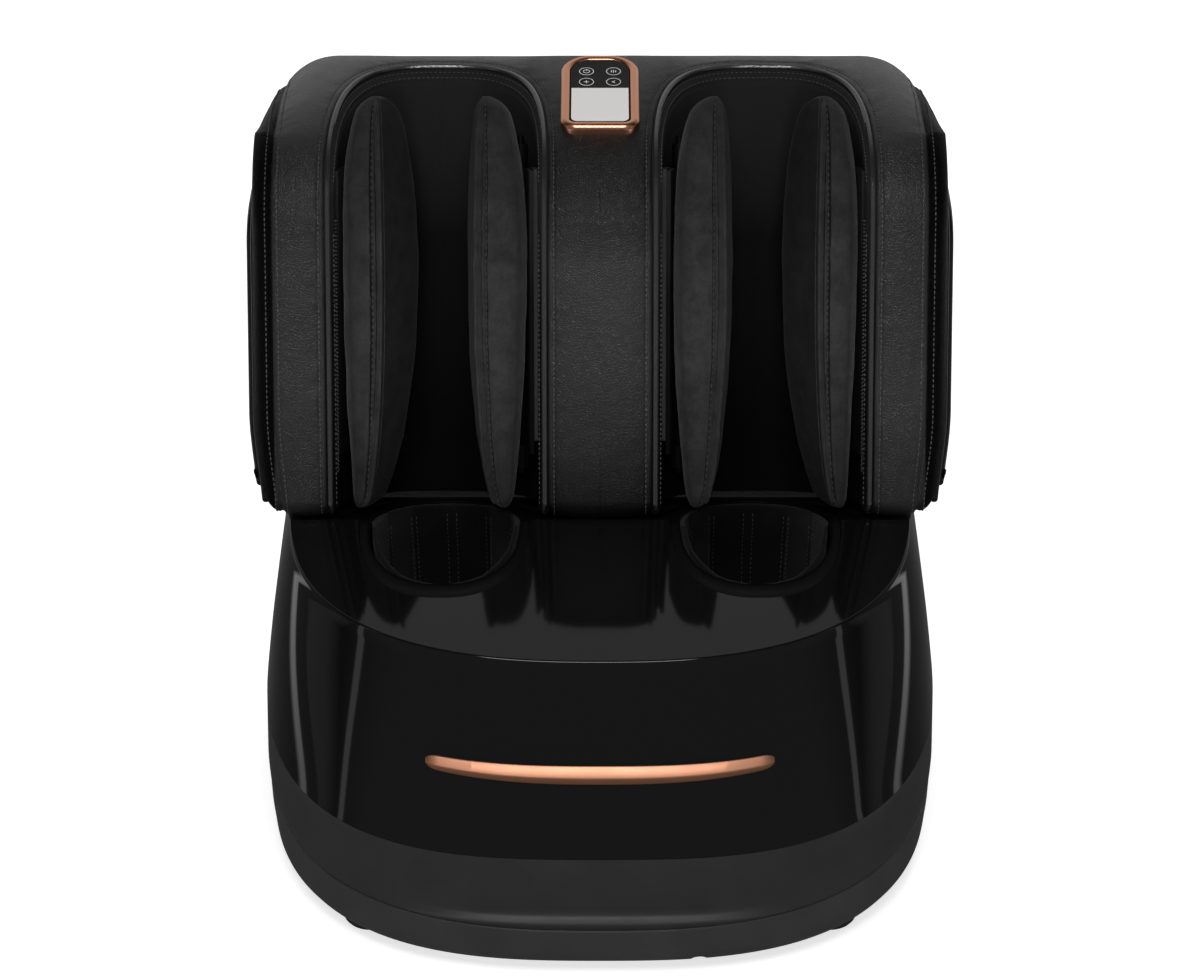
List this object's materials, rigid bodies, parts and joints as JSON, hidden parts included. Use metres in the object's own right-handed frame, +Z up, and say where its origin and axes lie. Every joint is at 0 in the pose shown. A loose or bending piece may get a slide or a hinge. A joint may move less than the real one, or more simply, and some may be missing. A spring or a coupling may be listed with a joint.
{
  "type": "foot and calf massager",
  "caption": "Foot and calf massager: glossy base with foot openings and rollers below, tilting leather calf unit with leg wells and squeezing pads.",
  "frame": {"origin": "on the floor under the middle of the bounding box", "axes": "+Z up, -Y towards the user, +X to the right seen from the front"},
  "size_m": [0.496, 0.5168, 0.4742],
  "materials": {
    "shell_gloss": "high gloss moulded black",
    "shell_matte": "fine matte moulded dark grey",
    "rose_gold": "plated rose gold",
    "leather": "grained dark leather",
    "velour": "short pile",
    "boot_fabric": "quilted fabric",
    "black_glass": "black touch glass",
    "rubber": "matte rubber",
    "steel": "zinc plated",
    "bronze": "sintered bronze",
    "inner_plastic": "moulded grey",
    "roller": "moulded discs on a steel shaft",
    "motor": "grey paint",
    "board": "green laminate",
    "air_rubber": "welded film",
    "switch_black": "black"
  },
  "bodies": {
    "base": {"base_pan": "shell_matte", "rubber_feet": "rubber", "lower_skirt": "shell_matte", "upper_shell": "shell_gloss", "front_trim_bar": "rose_gold", "foot_collar_left": "shell_gloss", "foot_collar_right": "shell_gloss", "foot_boot_left": "boot_fabric", "foot_boot_right": "boot_fabric", "rear_service_panel": "shell_matte", "power_inlet": "switch_black", "power_switch_frame": "switch_black", "roller_frame": "inner_plastic", "shaft_bushes": "bronze", "gear_motor": "motor", "drive_belts": "rubber", "air_pump": "inner_plastic", "valve_block": "inner_plastic", "base_air_hoses": "air_rubber", "power_supply_board": "board", "control_board": "board", "tilt_bracket_left": "steel", "tilt_bracket_right": "steel", "base_screws": "steel"},
    "calf_unit": {"housing_arm_left": "inner_plastic", "housing_back_left": "inner_plastic", "housing_middle": "inner_plastic", "housing_back_right": "inner_plastic", "housing_arm_right": "inner_plastic", "calf_rear_cover": "shell_matte", "leather_cover": "leather", "pivot_tube": "steel", "friction_washers": "bronze", "side_cover_left": "shell_gloss", "side_cover_right": "shell_gloss", "side_plate_left": "shell_gloss", "side_plate_right": "shell_gloss", "well_liner_left": "velour", "well_liner_right": "velour", "pad_hinge_rods": "steel", "calf_air_cells": "air_rubber", "panel_bezel": "rose_gold", "panel_glass": "black_glass", "panel_board": "board", "calf_screws": "steel"},
    "pad_left_outer": {"pad_carrier_left_outer": "inner_plastic", "calf_pad_left_outer": "velour"},
    "pad_left_inner": {"pad_carrier_left_inner": "inner_plastic", "calf_pad_left_inner": "velour"},
    "pad_right_inner": {"pad_carrier_right_inner": "inner_plastic", "calf_pad_right_inner": "velour"},
    "pad_right_outer": {"pad_carrier_right_outer": "inner_plastic", "calf_pad_right_outer": "velour"},
    "roller_front": {"roller_shaft_front": "roller"},
    "roller_middle": {"roller_shaft_middle": "roller"},
    "roller_rear": {"roller_shaft_rear": "roller"},
    "switch_rocker": {"power_switch_rocker": "switch_black"}
  },
  "joints": [
    {"name": "calf_tilt", "type": "hinge", "parent": "base", "child": "calf_unit", "pos_m": [0, 0.12288, 0.22475], "axis": [-1, 0, 0], "range_deg": [0, 20]},
    {"name": "pad_left_outer_squeeze", "type": "hinge", "parent": "calf_unit", "child": "pad_left_outer", "pos_m": [-0.1705, 0.05257, 0.18953], "axis": [0, 0.3746, 0.9272], "range_deg": [0, 8], "stiffness_Nm_per_rad": 1.5, "springref_deg": -8.59},
    {"name": "pad_left_inner_squeeze", "type": "hinge", "parent": "calf_unit", "child": "pad_left_inner", "pos_m": [-0.0565, 0.05257, 0.18953], "axis": [0, -0.3746, -0.9272], "range_deg": [0, 8], "stiffness_Nm_per_rad": 1.5, "springref_deg": -8.59},
    {"name": "pad_right_inner_squeeze", "type": "hinge", "parent": "calf_unit", "child": "pad_right_inner", "pos_m": [0.0565, 0.05257, 0.18953], "axis": [0, 0.3746, 0.9272], "range_deg": [0, 8], "stiffness_Nm_per_rad": 1.5, "springref_deg": -8.59},
    {"name": "pad_right_outer_squeeze", "type": "hinge", "parent": "calf_unit", "child": "pad_right_outer", "pos_m": [0.1705, 0.05257, 0.18953], "axis": [0, -0.3746, -0.9272], "range_deg": [0, 8], "stiffness_Nm_per_rad": 1.5, "springref_deg": -8.59},
    {"name": "roller_middle_spin", "type": "hinge", "parent": "base", "child": "roller_middle", "pos_m": [0, -0.0804, 0.04], "axis": [1, 0, 0], "continuous": true},
    {"name": "roller_front_spin", "type": "hinge", "parent": "base", "child": "roller_front", "pos_m": [0, -0.1404, 0.04], "axis": [1, 0, 0], "continuous": true},
    {"name": "roller_rear_spin", "type": "hinge", "parent": "base", "child": "roller_rear", "pos_m": [0, -0.0204, 0.04], "axis": [1, 0, 0], "continuous": true},
    {"name": "switch_rock", "type": "hinge", "parent": "base", "child": "switch_rocker", "pos_m": [0.065, 0.2119, 0.088], "axis": [-1, 0, 0], "range_deg": [0, 14]}
  ],
  "couplings": [
    {"joint": "roller_front_spin", "follows": "roller_middle_spin", "ratio": 1},
    {"joint": "roller_rear_spin", "follows": "roller_middle_spin", "ratio": 1}
  ]
}
